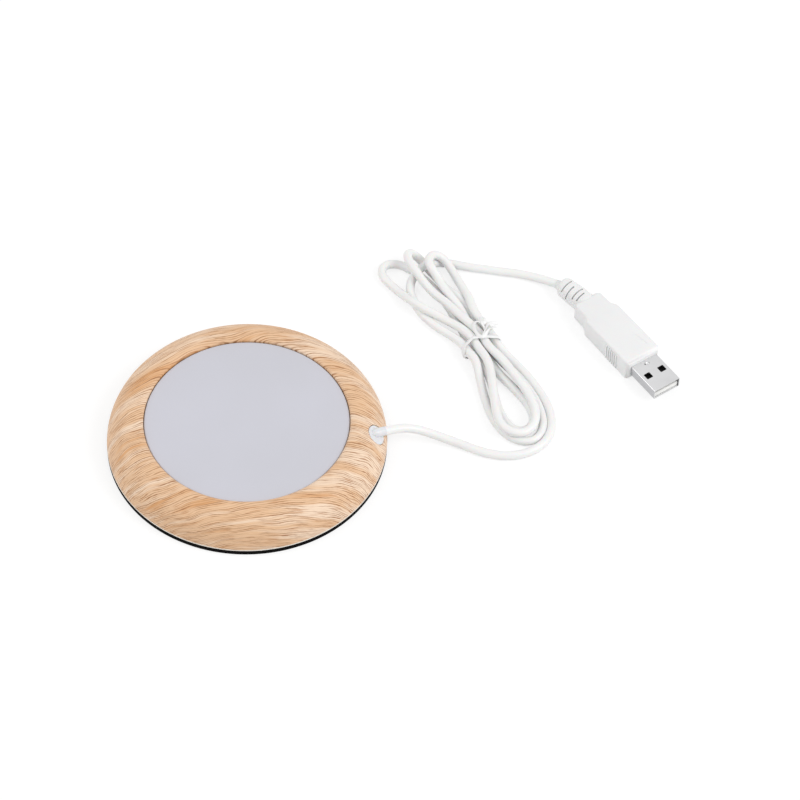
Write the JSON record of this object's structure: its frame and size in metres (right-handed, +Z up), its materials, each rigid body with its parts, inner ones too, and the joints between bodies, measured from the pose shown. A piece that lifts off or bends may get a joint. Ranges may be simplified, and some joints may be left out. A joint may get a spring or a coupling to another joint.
{
  "type": "usb mug warmer",
  "caption": "Round mug warmer: a domed wood-print ring round a flat heating plate on a thin pad, with its white lead in a tied hank and a flat plug.",
  "frame": {"origin": "on the table, under the centre of the ring, at the bottom of the pad", "axes": "+Z up out of the heating plate; +X towards the side that the cord leaves from; +Y towards the back"},
  "size_m": [0.215, 0.1505, 0.015],
  "materials": {
    "wood_print": "satin, printed with a fine wood grain",
    "plate_paint": "matte light grey",
    "seal_rubber": "matte dark brown",
    "pad_silicone": "matte blue-grey",
    "film_polyimide": "glossy amber",
    "track_metal": "etched",
    "solder": "soft sheen",
    "insulation_felt": "matte felt",
    "black_plastic": "matte black",
    "clamp_metal": "mill finish",
    "screw_steel": "zinc plated",
    "wire_red": "glossy red",
    "wire_black": "glossy black",
    "cord_jacket": "soft satin white",
    "pad_rubber": "matte black",
    "grommet_plastic": "satin white",
    "tie_plastic": "satin white",
    "plug_plastic": "satin white",
    "shell_steel": "nickel plated sheet",
    "tongue_plastic": "white",
    "contact_metal": "gold plated"
  },
  "bodies": {
    "root": {"trim_ring": "wood_print", "heating_plate": "plate_paint", "plate_seal": "seal_rubber", "thermal_pad": "pad_silicone", "heater_film": "film_polyimide", "heater_track": "track_metal", "solder_joints": "solder", "insulation_disc": "insulation_felt", "thermal_cutout": "black_plastic", "clamp_plate": "clamp_metal", "clamp_plate_screws": "screw_steel", "positive_wire": "wire_red", "negative_wire": "wire_black", "cutout_wire": "wire_red", "cord_tail": "cord_jacket", "cord_strap": "screw_steel", "cord_strap_screws": "screw_steel", "base_plate": "black_plastic", "base_screws": "screw_steel", "foot_pad": "pad_rubber", "cord_grommet": "grommet_plastic", "cord_lead": "cord_jacket", "cord_hank": "cord_jacket", "plug_cord": "cord_jacket", "twist_tie": "tie_plastic", "plug_relief": "plug_plastic", "plug_body": "plug_plastic", "plug_shell": "shell_steel", "plug_tongue": "tongue_plastic", "plug_contacts": "contact_metal"}
  },
  "joints": []
}
